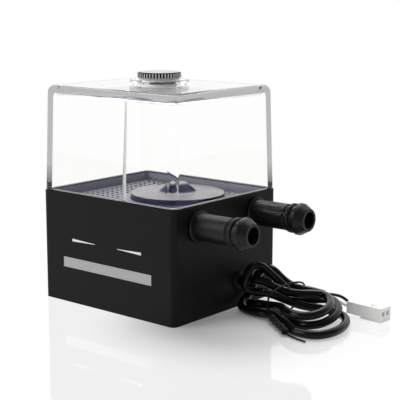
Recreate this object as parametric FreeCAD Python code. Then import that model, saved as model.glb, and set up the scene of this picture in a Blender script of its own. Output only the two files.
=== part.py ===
import FreeCAD, Part
import math
import os

# Liquid cooling pump: a black base box with the motor and the pump chamber,
# a clear reservoir on top, two hose barbs and a tied cable.
# Millimetres, +Z up. The origin is the middle of the base's underside.
# The front is -Y, and the barbs point along +X.

# Base box
base_width = 64.0
base_depth = 57.5
base_height = 40.5
base_wall = 3.0
base_corner_radius = 2.1
pocket_corner_radius = 1.2
deck_depth = 12.5
deck_thickness = 2.5

# Underside cover, its corner bosses and screws
plate_thickness = 2.4
screw_recess = 0.4
plate_clearance = 0.2
boss_radius = 3.2
boss_inset = 2.8
base_screw_radius = 1.25
base_screw_head_radius = 2.4
base_screw_head_height = 1.2
base_screw_length = 9.0
screw_clearance = 0.05
counterbore_clearance = 0.2

# Clear reservoir
tank_height = 38.0
tank_wall = 2.7
tank_roof = 2.9
tank_top_inset = 0.95
tank_corner_radius = 3.0
tank_edge_radius = 2.6
tank_inner_radius = 1.2
tank_inner_edge_radius = 0.96
seal_thickness = 0.5
seal_width = 1.6
seal_inset = 0.5
seal_inner_radius = 0.9
rib_offset = 7.0
rib_foot_width = 1.3
rib_top_width = 0.7
rib_depth = 0.6

# Filler collar and screw plug
collar_radius = 10.9
collar_height = 2.1
neck_radius = 9.0
neck_drop = 0.5
filler_bore_radius = 6.6
thread_clearance = 0.08
cap_radius = 8.0
cap_height = 1.9
cap_bevel = 0.35
cap_shank_length = 5.0
cap_knurls = 44
knurl_depth = 0.3
cap_seal_radius = 7.5
cap_seal_thickness = 0.7
cap_seal_clearance = 0.15

# Pump axis and chamber
axis_x = 4.2
outlet_offset = 11.2
flange_thickness = 1.4
chamber_height = 6.6
spiral_growth = 0.84
duct_radius = 3.2
volute_radius = 16.5
volute_ledge = 0.8
ledge_radius = 15.2
duct_width = 9.2
duct_foot_length = 7.1
gasket_thickness = 0.6
ear_radius = 2.4
ear_reach = 18.3
ear_height = 4.0
ear_turn = 45.0
volute_screw_radius = 1.0
volute_screw_head_radius = 1.9
volute_screw_head_height = 1.2
volute_screw_length = 7.5

# Cover disc and slotted inlet boss
cover_thickness = 2.0
cover_edge = 0.3
cover_fit = 0.1
inlet_radius = 4.6
inlet_boss_radius = 6.4
inlet_boss_height = 3.5
inlet_tip_radius = 2.6
inlet_wall = 1.4
inlet_slots = 4
inlet_slot_width = 2.4
inlet_slot_turn = 20.0
inlet_hollow_tip_radius = 1.82

# Perforated floor
grid_thickness = 1.2
grid_clearance = 0.2
grid_pitch = 2.6
grid_hole = 1.4
grid_margin = 1.3
post_radius = 2.5
post_inset = 2.0

# Rotor, shaft and can
shaft_radius = 1.25
shaft_running_clearance = 0.04
bush_radius = 2.2
hub_radius = 3.4
magnet_radius = 7.0
magnet_drop = 1.6
magnet_rise = 2.4
rotor_gap = 0.6
can_wall = 0.8
can_floor = 1.0
can_headroom = 1.2
can_clearance = 0.1
seat_radius = 2.4
seat_height = 1.0
washer_radius = 2.6
washer_thickness = 0.5
end_play = 0.2
impeller_radius = 10.3
impeller_lift = 0.6
shroud_thickness = 1.0
vane_count = 6
vane_height = 3.8
vane_thickness = 1.0
vane_arc_radius = 8.5
vane_inner_radius = 2.9

# Stator
core_drop = 3.0
core_lift = 4.3
core_radius = 16.8
core_yoke = 3.0
core_fit = 0.05
pole_count = 4
pole_width = 5.0
pole_tip_height = 1.4
pole_tip_angle = 66.0
bobbin_wall = 0.6
coil_thickness = 2.0
stator_post_radius = 1.3
stator_post_turn = 25.0

# Control board
board_width = 44.0
board_depth = 40.0
board_thickness = 1.6
board_bottom = 6.0
standoff_radius = 2.2
standoff_inset = 3.0
peg_radius = 1.0
peg_proud = 0.6
peg_clearance = 0.05
chip_size = (5.0, 4.0, 1.5)
chip_inset = 7.0
chip_y = 6.0
sensor_size = (4.0, 3.0, 1.4)
capacitor_radius = 2.5
capacitor_height = 7.0
capacitor_inset = 7.0

# Hose barbs
barb_inset = 12.55
barb_drop = 7.0
barb_length = 23.75
barb_bore_radius = 3.0
barb_tube_radius = 4.75
barb_collar_radius = 5.6
barb_collar_thickness = 1.2
barb_neck_length = 1.4
barb_neck_radius = 4.45
barb_ridge_radius = 5.3
barb_ridge_length = 1.6
barb_groove_radius = 4.75
barb_groove_length = 1.4
barb_land_radius = 5.7
barb_land_length = 1.3
barb_cone_length = 3.15
barb_tip_radius = 4.0
barb_edge = 0.3
barb_seal_width = 0.55
barb_seal_depth = 0.8

# Cable, grommet and connector
cable_radius = 1.5
grommet_y = 6.5
grommet_z = 9.7
grommet_radius = 3.4
grommet_neck_radius = 2.5
grommet_flange = 1.2
grommet_bevel = 0.6
grommet_inner_taper = 0.3
lead_radius = 0.55
lead_pitch = 2.54
lead_entry_depth = 2.4
sheath_tail = 2.0
wire_radius = 0.45
wire_run = 4.6
wire_spacing = 1.0
cable_run = 11.6
cable_turn = (0.94, 0.26, 0.22)
tie_section = (51.0, 9.9, 10.0, 1.0, 10.0)
hank_sections = [
    (34.0, 10.0, 3.6, 2.4, 11.0),
    (37.0, 8.2, 8.0, 0.6, 16.0),
    (40.0, 8.0, 8.8, 0.5, 17.0),
    (45.0, 8.6, 9.6, 0.5, 12.8),
    tie_section,
    (60.0, 8.6, 14.6, 0.5, 8.8),
    (69.0, 4.2, 14.2, 0.5, 7.4),
    (75.0, 2.8, 12.4, 0.5, 4.2),
    (80.0, 1.6, 5.0, 0.7, 2.6),
]
tie_width = 1.4
tie_thickness = 0.7
tie_tail_points = [
    (51.2, 0.6, 2.2),
    (58.4, -5.0, 1.7),
    (65.2, -10.8, 1.5),
]
tie_tail_radius = 1.3
tie_end = (75.2, -13.2, 0.7)
tie_wire_radius = 0.6
connector_front = (82.6, 24.7)
connector_yaw = -3.5
connector_length = 14.4
connector_width = 6.0
connector_height = 5.0
connector_front_length = 8.4
connector_step = 0.8
contact_recess = 0.9
contact_width = 1.6
latch_width = 2.4
latch_height = 0.45
latch_rear = 5.4
latch_crest = 4.4
latch_front = 2.4
lead_start = (58.5, 19.5, 5.6)
lead_start_spread = 1.6
lead_middle = (62.6, 23.6, 5.4)
lead_middle_spread = 1.8
lead_straight = 2.4

# Sizes that follow from the ones above
pocket_width = base_width - 2 * base_wall
pocket_depth = base_depth - 2 * base_wall
deck_top = base_height - deck_depth
deck_bottom = deck_top - deck_thickness
barb_axis_height = base_height - barb_drop
barb_spacing = base_depth - 2 * barb_inset
axis_y = barb_spacing / 2 - outlet_offset
seal_top = base_height + seal_thickness
tank_top = seal_top + tank_height
collar_top = tank_top + collar_height
cap_bottom = collar_top + cap_seal_thickness
neck_bottom = tank_top - tank_roof - neck_drop
flange_bottom = deck_top + gasket_thickness
chamber_floor = flange_bottom + flange_thickness
chamber_top = chamber_floor + chamber_height
volute_top = chamber_top + volute_ledge
cover_top = volute_top + cover_thickness
grid_bottom = volute_top - grid_thickness
can_inner_radius = magnet_radius + rotor_gap
can_outer_radius = can_inner_radius + can_wall
board_top = board_bottom + board_thickness
can_bottom = board_top + sensor_size[2] + can_headroom
core_bottom = can_bottom + core_lift
core_top = deck_bottom - core_drop
core_height = core_top - core_bottom
core_inner_radius = can_outer_radius + core_fit
wall_x = base_width / 2
spiral_start_radius = outlet_offset + duct_radius - 3.5 * spiral_growth
wall_inner_x = wall_x - base_wall
seat_top = can_bottom + can_floor + seat_height
rotor_bottom = seat_top + washer_thickness + end_play
shroud_bottom = chamber_floor + impeller_lift
vane_bottom = shroud_bottom + shroud_thickness
hub_top = vane_bottom + vane_height
inlet_top = cover_top + inlet_boss_height
axis = FreeCAD.Vector(axis_x, axis_y, 0)
up = FreeCAD.Vector(0, 0, 1)
out = FreeCAD.Vector(1, 0, 0)


def point(x, y, z=0.0):
    return FreeCAD.Vector(x, y, z)


def rounded_wire(width, depth, radius, z):
    """A rectangle with round corners, centred on the origin."""
    a = width / 2
    b = depth / 2
    bend = radius * (1 - math.sqrt(0.5))
    edges = []
    for sx, sy in ((1, 1), (-1, 1), (-1, -1), (1, -1)):
        first = point(sx * a, sy * (b - radius), z)
        last = point(sx * (a - radius), sy * b, z)
        if sx * sy < 0:
            first, last = last, first
        middle = point(sx * (a - bend), sy * (b - bend), z)
        edges.append(Part.Arc(first, middle, last).toShape())
    straights = []
    for k in range(4):
        start = edges[k].Vertexes[-1].Point
        end = edges[(k + 1) % 4].Vertexes[0].Point
        straights.append(Part.LineSegment(start, end).toShape())
    return Part.Wire(Part.__sortEdges__(edges + straights))


def rounded_block(width, depth, radius, low, high):
    face = Part.Face(rounded_wire(width, depth, radius, low))
    return face.extrude(up * (high - low))


def cylinder(radius, low, high, centre):
    return Part.makeCylinder(radius, high - low, point(centre.x, centre.y, low))


def ring(outer, inner, low, high, centre):
    return cylinder(outer, low, high, centre).cut(cylinder(inner, low, high, centre))


def block(x0, x1, y0, y1, z0, z1):
    return Part.makeBox(x1 - x0, y1 - y0, z1 - z0, point(x0, y0, z0))


def turned(profile, centre, direction):
    """A turned piece: its profile is pairs of (distance along the axis, radius)."""
    side = up if abs(direction.z) < 0.5 else out
    corners = [centre + direction * t + side * r for t, r in profile]
    face = Part.Face(Part.makePolygon(corners + corners[:1]))
    return face.revolve(centre, direction, 360)


def around(centre, radius, count, first_angle):
    """Evenly spaced points on a circle."""
    points = []
    for k in range(count):
        angle = math.radians(first_angle + 360.0 * k / count)
        points.append(centre + point(radius * math.cos(angle), radius * math.sin(angle)))
    return points


def spun(shape, centre, degrees):
    copy = shape.copy()
    copy.rotate(centre, up, degrees)
    return copy


def fused(shapes):
    return shapes[0].multiFuse(shapes[1:]).removeSplitter()


def cut_all(shape, tools):
    return shape.cut(Part.makeCompound(tools))


def cord_tube(points, radius, name):
    """A tube along straight runs joined by tangent arcs as large as the runs allow."""
    edges = []
    start = points[0]
    length = 0.0
    for before, corner, after in zip(points, points[1:], points[2:]):
        back = before - corner
        ahead = after - corner
        reach = 0.45 * min(back.Length, ahead.Length)
        half_turn = (math.pi - back.getAngle(ahead)) / 2
        bend_radius = reach / math.tan(half_turn)
        back.normalize()
        ahead.normalize()
        first = corner + back * reach
        last = corner + ahead * reach
        towards = back + ahead
        towards.normalize()
        middle = corner + towards * (bend_radius / math.cos(half_turn) - bend_radius)
        edges.append(Part.LineSegment(start, first).toShape())
        edges.append(Part.Arc(first, middle, last).toShape())
        start = last
        print(f"{name}: bend radius {bend_radius:.1f} mm")
    edges.append(Part.LineSegment(start, points[-1]).toShape())
    for edge in edges:
        length += edge.Length
    path = Part.Wire(edges)
    section = Part.Wire(Part.makeCircle(radius, points[0], points[1] - points[0]))
    tube = path.makePipeShell([section], True, True)
    share = tube.Volume / (math.pi * radius * radius * length)
    print(f"{name}: length {length:.1f} mm, volume is {share:.4f} of section times length")
    return tube


def corner_places(width, depth, inset):
    a = width / 2 - inset
    b = depth / 2 - inset
    return [point(a, b), point(-a, b), point(-a, -b), point(a, -b)]


boss_places = corner_places(pocket_width, pocket_depth, boss_inset)
post_places = corner_places(pocket_width, pocket_depth, post_inset)
ear_places = around(axis, ear_reach, 4, ear_turn)
stator_post_places = around(axis, core_radius - core_yoke / 2, 4, stator_post_turn)
peg_places = corner_places(board_width, board_depth, standoff_inset)
barb_places = {
    "inlet_barb": point(wall_x, -barb_spacing / 2, barb_axis_height),
    "outlet_barb": point(wall_x, barb_spacing / 2, barb_axis_height),
}
grommet_place = point(wall_x, grommet_y, grommet_z)
parts = {}


# Base housing: a box with a deck that parts the wet side from the dry side
def base_housing():
    shell = rounded_block(base_width, base_depth, base_corner_radius, 0, base_height)
    wet = rounded_block(pocket_width, pocket_depth, pocket_corner_radius, deck_top, base_height)
    dry = rounded_block(pocket_width, pocket_depth, pocket_corner_radius, 0, deck_bottom)
    added = [cut_all(shell, [wet, dry])]
    added += [cylinder(boss_radius, plate_thickness, deck_bottom, p) for p in boss_places]
    added += [cylinder(post_radius, deck_top, grid_bottom, p) for p in post_places]
    added += [cylinder(stator_post_radius, core_top, deck_bottom, p) for p in stator_post_places]
    holes = [cylinder(can_outer_radius + can_clearance, deck_bottom, deck_top, axis)]
    for p in ear_places:
        holes.append(cylinder(volute_screw_radius + screw_clearance, deck_bottom, deck_top, p))
    for p in boss_places:
        pilot_top = screw_recess + base_screw_head_height + base_screw_length
        holes.append(cylinder(base_screw_radius + screw_clearance, plate_thickness, pilot_top, p))
    for p in barb_places.values():
        holes.append(Part.makeCylinder(barb_tube_radius, base_wall, p - out * base_wall, out))
        seat = barb_tube_radius + barb_seal_width
        holes.append(Part.makeCylinder(seat, barb_seal_depth, p - out * barb_seal_depth, out))
    grommet_hole = Part.makeCylinder(grommet_neck_radius, base_wall, grommet_place - out * base_wall, out)
    return cut_all(fused(added), holes + [grommet_hole])


# Underside cover with the board's standoffs, and its four screws
def base_plate():
    width = pocket_width - 2 * plate_clearance
    depth = pocket_depth - 2 * plate_clearance
    plate = rounded_block(width, depth, pocket_corner_radius, 0, plate_thickness)
    added = [plate]
    added += [cylinder(standoff_radius, plate_thickness, board_bottom, p) for p in peg_places]
    added += [cylinder(peg_radius, board_bottom, board_top + peg_proud, p) for p in peg_places]
    head_top = screw_recess + base_screw_head_height
    holes = []
    for p in boss_places:
        head_room = base_screw_head_radius + counterbore_clearance
        holes.append(cylinder(head_room, 0, head_top, p))
        holes.append(cylinder(base_screw_radius + screw_clearance, head_top, plate_thickness, p))
    return cut_all(fused(added), holes)


def base_screw(place):
    head_top = screw_recess + base_screw_head_height
    head = cylinder(base_screw_head_radius, screw_recess, head_top, place)
    return head.fuse(cylinder(base_screw_radius, head_top, head_top + base_screw_length, place))


# Clear reservoir: a drafted box, open below, with the filler collar on its roof
def tank():
    outer = drafted(base_width, base_depth, tank_corner_radius, tank_top, tank_edge_radius)
    inner_width = base_width - 2 * tank_wall
    inner_depth = base_depth - 2 * tank_wall
    roof = tank_top - tank_roof
    inner = drafted(inner_width, inner_depth, tank_inner_radius, roof, tank_inner_edge_radius)
    collar = cylinder(collar_radius, tank_top - tank_roof / 2, collar_top, point(0, 0))
    neck = cylinder(neck_radius, neck_bottom, tank_top - tank_roof / 2, point(0, 0))
    bore = cylinder(filler_bore_radius, neck_bottom, collar_top, point(0, 0))
    return fused([outer.cut(inner), collar, neck, front_rib()]).cut(bore)


def drafted(width, depth, radius, top, edge_radius):
    """A block that narrows upwards towards the tank's top, with its top edges rounded."""
    narrowing = 2 * tank_top_inset * (top - seal_top) / tank_height
    foot = rounded_wire(width, depth, radius, seal_top)
    head = rounded_wire(width - narrowing, depth - narrowing, radius, top)
    solid = Part.makeLoft([foot, head], True, True)
    middle = (seal_top + top) / 2
    edges = [e for e in solid.Edges if min(v.Point.z for v in e.Vertexes) > middle]
    return solid.makeFillet(edge_radius, edges)


def front_rib():
    """A slim rib inside the front wall, wider at its foot."""
    wall_middle = -base_depth / 2 + tank_wall / 2
    foot = rib_foot_width / 2
    head = rib_top_width / 2
    top = tank_top - tank_roof / 2
    corners = [
        point(rib_offset - foot, wall_middle, seal_top),
        point(rib_offset + foot, wall_middle, seal_top),
        point(rib_offset + head, wall_middle, top),
        point(rib_offset - head, wall_middle, top),
    ]
    face = Part.Face(Part.makePolygon(corners + corners[:1]))
    return face.extrude(point(0, tank_wall / 2 + rib_depth, 0))


def tank_seal():
    width = base_width - 2 * seal_inset
    depth = base_depth - 2 * seal_inset
    radius = tank_corner_radius - seal_inset
    outer = rounded_block(width, depth, radius, base_height, seal_top)
    inner_width = width - 2 * seal_width
    inner_depth = depth - 2 * seal_width
    inner = rounded_block(inner_width, inner_depth, seal_inner_radius, base_height, seal_top)
    return outer.cut(inner)


# Screw plug with a straight knurl, and the ring seal under its head
def filler_cap():
    top = cap_bottom + cap_height
    head_profile = [
        (0, 0),
        (0, cap_radius),
        (cap_height - cap_bevel, cap_radius),
        (cap_height, cap_radius - cap_bevel),
        (cap_height, 0),
    ]
    head = turned(head_profile, point(0, 0, cap_bottom), up)
    half_angle = math.pi / cap_knurls / 2
    grooves = []
    for p in around(point(0, 0), cap_radius - knurl_depth, cap_knurls, 0):
        angle = math.atan2(p.y, p.x)
        reach = cap_radius + knurl_depth
        corners = [point(p.x, p.y, cap_bottom)]
        for turn in (-half_angle, half_angle):
            x = reach * math.cos(angle + turn)
            y = reach * math.sin(angle + turn)
            corners.append(point(x, y, cap_bottom))
        groove = Part.Face(Part.makePolygon(corners + corners[:1]))
        grooves.append(groove.extrude(up * (top - cap_bottom)))
    shank_radius = filler_bore_radius - thread_clearance
    shank = cylinder(shank_radius, cap_bottom - cap_shank_length, cap_bottom, point(0, 0))
    return cut_all(head, grooves).fuse(shank)


def filler_cap_seal():
    inner = filler_bore_radius - thread_clearance + cap_seal_clearance
    return ring(cap_seal_radius, inner, collar_top, cap_bottom, point(0, 0))


# Pump chamber: a spiral of four quarter arcs that opens into the outlet duct
def spiral_face(z):
    half = spiral_growth / 2
    centres = [(half, -half), (-half, -half), (-half, half), (half, half)]
    edges = []
    radius = spiral_start_radius
    for k, (cx, cy) in enumerate(centres):
        places = []
        for turn in (0, 45, 90):
            angle = math.radians(90 - 90 * k - turn)
            place = point(cx + radius * math.cos(angle), cy + radius * math.sin(angle), z)
            places.append(axis + place)
        edges.append(Part.Arc(*places).toShape())
        radius += spiral_growth
    first = edges[0].Vertexes[0].Point
    last = edges[-1].Vertexes[-1].Point
    edges.append(Part.LineSegment(last, first).toShape())
    return Part.Face(Part.Wire(edges))


def outlet_bore():
    start = point(axis_x, barb_spacing / 2, barb_axis_height)
    return Part.makeCylinder(duct_radius, wall_inner_x - axis_x, start, out)


def duct_block(x0, x1, low, high):
    middle = barb_spacing / 2
    return block(x0, x1, middle - duct_width / 2, middle + duct_width / 2, low, high)


def volute_housing():
    added = [cylinder(volute_radius, chamber_floor, volute_top, axis)]
    added += [cylinder(ear_radius, chamber_floor, chamber_floor + ear_height, p) for p in ear_places]
    added += [ear_web(p, chamber_floor, chamber_floor + ear_height) for p in ear_places]
    added.append(duct_block(axis_x, wall_inner_x, chamber_floor, volute_top))
    foot_x = wall_inner_x - duct_foot_length
    added.append(duct_block(foot_x, wall_inner_x, deck_top, chamber_floor))
    cuts = [spiral_face(chamber_floor).extrude(up * chamber_height), outlet_bore()]
    cuts.append(cylinder(ledge_radius, chamber_top, volute_top, axis))
    screw_top = deck_bottom + volute_screw_length
    for p in ear_places:
        cuts.append(cylinder(volute_screw_radius + screw_clearance, chamber_floor, screw_top, p))
    return cut_all(fused(added), cuts)


def ear_web(place, low, high):
    """The web between the round wall and a screw ear."""
    web = block(0, ear_reach, -ear_radius, ear_radius, low, high)
    web.translate(axis)
    angle = math.degrees(math.atan2(place.y - axis_y, place.x - axis_x))
    return spun(web, axis, angle)


def flange(low, high):
    """The chamber floor's outline, with an ear for each screw."""
    added = [cylinder(volute_radius, low, high, axis)]
    added += [cylinder(ear_radius, low, high, p) for p in ear_places]
    added += [ear_web(p, low, high) for p in ear_places]
    holes = [cylinder(volute_screw_radius + screw_clearance, low, high, p) for p in ear_places]
    return cut_all(fused(added), holes)


def rotor_can():
    barrel = cylinder(can_outer_radius, can_bottom, flange_bottom, axis)
    body = fused([flange(flange_bottom, chamber_floor), barrel])
    body = body.cut(cylinder(can_inner_radius, can_bottom + can_floor, chamber_floor, axis))
    seat = cylinder(seat_radius, can_bottom + can_floor, seat_top, axis)
    return fused([body, seat]).cut(cylinder(shaft_radius, can_bottom + can_floor / 2, seat_top, axis))


def can_gasket():
    hole = cylinder(can_outer_radius + can_clearance, deck_top, flange_bottom, axis)
    return flange(deck_top, flange_bottom).cut(hole)


def volute_screw(place):
    head = cylinder(volute_screw_head_radius, deck_bottom - volute_screw_head_height, deck_bottom, place)
    return head.fuse(cylinder(volute_screw_radius, deck_bottom, deck_bottom + volute_screw_length, place))


# Cover disc: its inlet boss is a slotted cone that also holds the shaft's top end
def volute_cover():
    profile = [
        (0, 0),
        (0, ledge_radius - cover_fit),
        (volute_ledge, ledge_radius - cover_fit),
        (volute_ledge, volute_radius),
        (volute_ledge + cover_thickness - cover_edge, volute_radius),
        (volute_ledge + cover_thickness, volute_radius - cover_edge),
        (volute_ledge + cover_thickness, inlet_boss_radius),
        (volute_ledge + cover_thickness + inlet_boss_height, inlet_tip_radius),
        (volute_ledge + cover_thickness + inlet_boss_height, 0),
    ]
    disc = turned(profile, axis + up * chamber_top, up)
    hollow_profile = [
        (0, 0),
        (0, inlet_radius),
        (volute_ledge + cover_thickness, inlet_boss_radius - inlet_wall),
        (volute_ledge + cover_thickness + inlet_boss_height - inlet_wall, inlet_hollow_tip_radius),
        (volute_ledge + cover_thickness + inlet_boss_height - inlet_wall, 0),
    ]
    hollow = turned(hollow_profile, axis + up * chamber_top, up)
    shaft_hole = cylinder(shaft_radius, chamber_top, inlet_top - inlet_wall / 2, axis)
    slot_top = inlet_top - inlet_wall
    slots = []
    for k in range(inlet_slots):
        half = inlet_slot_width / 2
        slot = block(inlet_tip_radius, inlet_boss_radius, -half, half, cover_top + cover_edge, slot_top)
        slot.translate(axis)
        slots.append(spun(slot, axis, 360.0 * k / inlet_slots + inlet_slot_turn))
    return cut_all(disc, [hollow, shaft_hole] + slots)


# Perforated floor round the cover disc and the outlet duct
def floor_grid():
    width = pocket_width - 2 * grid_clearance
    depth = pocket_depth - 2 * grid_clearance
    plate = rounded_block(width, depth, pocket_corner_radius, grid_bottom, volute_top)
    opening = cylinder(volute_radius + grid_clearance, grid_bottom, volute_top, axis)
    side = barb_spacing / 2 - duct_width / 2 - grid_clearance
    far_side = barb_spacing / 2 + duct_width / 2 + grid_clearance
    notch = block(axis_x, wall_x, side, far_side, grid_bottom, volute_top)
    holes = [opening, notch]
    half = grid_hole / 2
    columns = int((width / 2 - grid_margin - half) / grid_pitch)
    rows = int((depth / 2 - grid_margin - half) / grid_pitch)
    for column in range(-columns, columns + 1):
        for row in range(-rows, rows + 1):
            x = column * grid_pitch
            y = row * grid_pitch
            clear_of_disc = math.hypot(x - axis_x, y - axis_y) > volute_radius + grid_margin + half * 1.5
            in_duct = x > axis_x and side - grid_margin - half < y < far_side + grid_margin + half
            if clear_of_disc and not in_duct:
                holes.append(block(x - half, x + half, y - half, y + half, grid_bottom, volute_top))
    return cut_all(plate, holes)


# Rotor: swept vanes on a back shroud, with the magnet on the hub below
def vane(angle):
    """One vane, a band between two arcs about the same centre."""
    reach = vane_arc_radius
    centre = axis + point(0, -reach)
    outer = ring(reach + vane_thickness / 2, reach - vane_thickness / 2, vane_bottom, hub_top, centre)
    side = block(0, 2 * impeller_radius, -impeller_radius, impeller_radius, vane_bottom, hub_top)
    side.translate(axis)
    eye = cylinder(vane_inner_radius, vane_bottom, hub_top, axis)
    rim = cylinder(impeller_radius, vane_bottom, hub_top, axis)
    return spun(outer.common(side).common(rim).cut(eye), axis, angle)


def impeller():
    shroud = cylinder(impeller_radius, shroud_bottom, vane_bottom, axis)
    hub = cylinder(hub_radius, rotor_bottom, hub_top, axis)
    vanes = [vane(360.0 * k / vane_count) for k in range(vane_count)]
    body = fused([shroud, hub] + vanes)
    return body.cut(cylinder(bush_radius, rotor_bottom, hub_top, axis))


def rotor_magnet():
    return ring(magnet_radius, hub_radius, core_bottom - magnet_drop, core_top + magnet_rise, axis)


def rotor_bush():
    return ring(bush_radius, shaft_radius + shaft_running_clearance, rotor_bottom, hub_top, axis)


def rotor_shaft():
    return cylinder(shaft_radius, can_bottom + can_floor / 2, inlet_top - inlet_wall / 2, axis)


def thrust_washers():
    lower = ring(washer_radius, shaft_radius, seat_top, seat_top + washer_thickness, axis)
    upper_bottom = hub_top + end_play
    upper = ring(washer_radius, shaft_radius, upper_bottom, upper_bottom + washer_thickness, axis)
    return [lower, upper]


# Stator: a yoke with four poles, each in a bobbin with its winding
def pole(angle, low, high, half_width):
    web = block(0, core_radius - core_yoke / 2, -half_width, half_width, low, high)
    web.translate(axis)
    return spun(web, axis, angle)


def stator_core():
    yoke = ring(core_radius, core_radius - core_yoke, core_bottom, core_top, axis)
    tip_outer = core_inner_radius + pole_tip_height
    added = [yoke]
    for k in range(pole_count):
        angle = 360.0 * k / pole_count
        added.append(pole(angle, core_bottom, core_top, pole_width / 2))
        tip = Part.makeCylinder(tip_outer, core_height, axis + up * core_bottom, up, pole_tip_angle)
        added.append(spun(tip, axis, angle - pole_tip_angle / 2))
    bore = cylinder(core_inner_radius, core_bottom, core_top, axis)
    return fused(added).cut(bore)


def spool(angle, inner_gap, outer_gap):
    """A rectangular sleeve round one pole, from inner_gap to outer_gap off the pole's faces."""
    start = core_inner_radius + pole_tip_height
    end = core_radius - core_yoke - bobbin_wall
    if inner_gap > 0:
        start += bobbin_wall
        end -= bobbin_wall
    solids = []
    for gap in (outer_gap, inner_gap):
        half = pole_width / 2 + gap
        sleeve = block(start, end, -half, half, core_bottom - gap, core_top + gap)
        sleeve.translate(axis)
        solids.append(spun(sleeve, axis, angle))
    yoke_face = cylinder(core_radius - core_yoke, core_bottom - outer_gap, core_top + outer_gap, axis)
    tip_face = cylinder(start, core_bottom - outer_gap, core_top + outer_gap, axis)
    return solids[0].cut(solids[1]).common(yoke_face).cut(tip_face)


def coil_bobbins():
    return [spool(360.0 * k / pole_count, 0.0, bobbin_wall) for k in range(pole_count)]


def stator_coils():
    gap = bobbin_wall + coil_thickness
    return [spool(360.0 * k / pole_count, bobbin_wall, gap) for k in range(pole_count)]


# Control board and what is soldered to it
def control_board():
    a = board_width / 2
    b = board_depth / 2
    board = block(-a, a, -b, b, board_bottom, board_top)
    holes = [cylinder(peg_radius + peg_clearance, board_bottom, board_top, p) for p in peg_places]
    return cut_all(board, holes)


def on_board(size, x, y):
    a, b, c = size
    return block(x - a / 2, x + a / 2, y - b / 2, y + b / 2, board_top, board_top + c)


def filter_capacitor():
    corner = corner_places(board_width, board_depth, capacitor_inset)[2]
    return cylinder(capacitor_radius, board_top, board_top + capacitor_height, corner)


def board_leads():
    """Two leads from the cable's sheath down to the board."""
    start_x = wall_inner_x - sheath_tail
    board_z = board_top + wire_radius
    leads = []
    for side in (-1, 1):
        y = grommet_y + side * wire_spacing / 2
        points = [
            point(start_x, y, grommet_z),
            point(start_x - wire_run, y, grommet_z),
            point(start_x - 2 * wire_run, y, board_z),
            point(start_x - 3 * wire_run, y, board_z),
        ]
        leads.append(cord_tube(points, wire_radius, "board_leads"))
    return leads


# Hose barbs and their seal rings
def barb(place):
    land_end = barb_length - barb_cone_length
    land_start = land_end - barb_land_length
    groove_start = land_start - barb_groove_length
    ridge_start = groove_start - barb_ridge_length
    neck_start = ridge_start - barb_neck_length
    profile = [
        (-base_wall, barb_bore_radius),
        (-base_wall, barb_tube_radius),
        (0, barb_tube_radius),
        (0, barb_collar_radius),
        (barb_collar_thickness - barb_edge, barb_collar_radius),
        (barb_collar_thickness, barb_collar_radius - barb_edge),
        (barb_collar_thickness, barb_tube_radius),
        (neck_start, barb_tube_radius),
        (neck_start, barb_neck_radius),
        (ridge_start, barb_neck_radius),
        (ridge_start, barb_ridge_radius - barb_edge),
        (ridge_start + barb_edge, barb_ridge_radius),
        (groove_start - barb_edge, barb_ridge_radius),
        (groove_start, barb_ridge_radius - barb_edge),
        (groove_start, barb_groove_radius),
        (land_start, barb_groove_radius),
        (land_start, barb_land_radius - barb_edge),
        (land_start + barb_edge, barb_land_radius),
        (land_end, barb_land_radius),
        (barb_length, barb_tip_radius),
        (barb_length, barb_bore_radius),
    ]
    return turned(profile, place, out)


def barb_seal(place):
    start = place - out * barb_seal_depth
    outer = Part.makeCylinder(barb_tube_radius + barb_seal_width, barb_seal_depth, start, out)
    return outer.cut(Part.makeCylinder(barb_tube_radius, barb_seal_depth, start, out))


# Cable: grommet, the free stretch, the tied hank, its tie and the connector
def cable_grommet():
    profile = [
        (-base_wall - grommet_flange, cable_radius),
        (-base_wall - grommet_flange, grommet_radius - grommet_inner_taper),
        (-base_wall, grommet_radius),
        (-base_wall, grommet_neck_radius),
        (0, grommet_neck_radius),
        (0, grommet_radius),
        (grommet_flange - grommet_bevel, grommet_radius),
        (grommet_flange, grommet_radius - grommet_bevel),
        (grommet_flange, cable_radius),
    ]
    return turned(profile, grommet_place, out)


def cable_lead():
    start = grommet_place - out * (base_wall + sheath_tail)
    corner = start + out * cable_run
    turn = point(*cable_turn)
    turn.normalize()
    return cord_tube([start, corner, corner + turn * cable_run], cable_radius, "cable_lead")


def oval_wire(section, grow):
    x, middle, half, low, high = section
    centre = point(x, middle, (low + high) / 2)
    height = (high - low) / 2 + grow
    places = []
    for k in range(8):
        angle = math.pi * k / 4
        places.append(centre + point(0, (half + grow) * math.cos(angle), height * math.sin(angle)))
    oval = Part.BSplineCurve()
    oval.interpolate(places, PeriodicFlag=True)
    return Part.Wire(oval.toShape())


def cable_hank():
    """The outer shape of the tied hank."""
    return Part.makeLoft([oval_wire(s, 0.0) for s in hank_sections], True, False)


def twist_tie():
    outer = Part.Face(oval_wire(tie_section, tie_thickness)).extrude(out * tie_width)
    inner = Part.Face(oval_wire(tie_section, 0.0)).extrude(out * tie_width)
    band = outer.cut(inner)
    band.translate(out * (-tie_width / 2))
    tail_points = [point(*p) for p in tie_tail_points]
    tail = cord_tube(tail_points, tie_tail_radius, "twist_tie")
    reach = point(*tie_end) - tail_points[-2]
    wire = Part.makeCylinder(tie_wire_radius, reach.Length, tail_points[-2], reach)
    return fused([band, tail, wire])


def at_connector(shape):
    """Takes a shape from the connector's own frame, whose front face is at x = 0, to its place."""
    placed = shape.copy()
    placed.rotate(point(0, 0), up, connector_yaw)
    placed.translate(point(*connector_front))
    return placed


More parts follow.
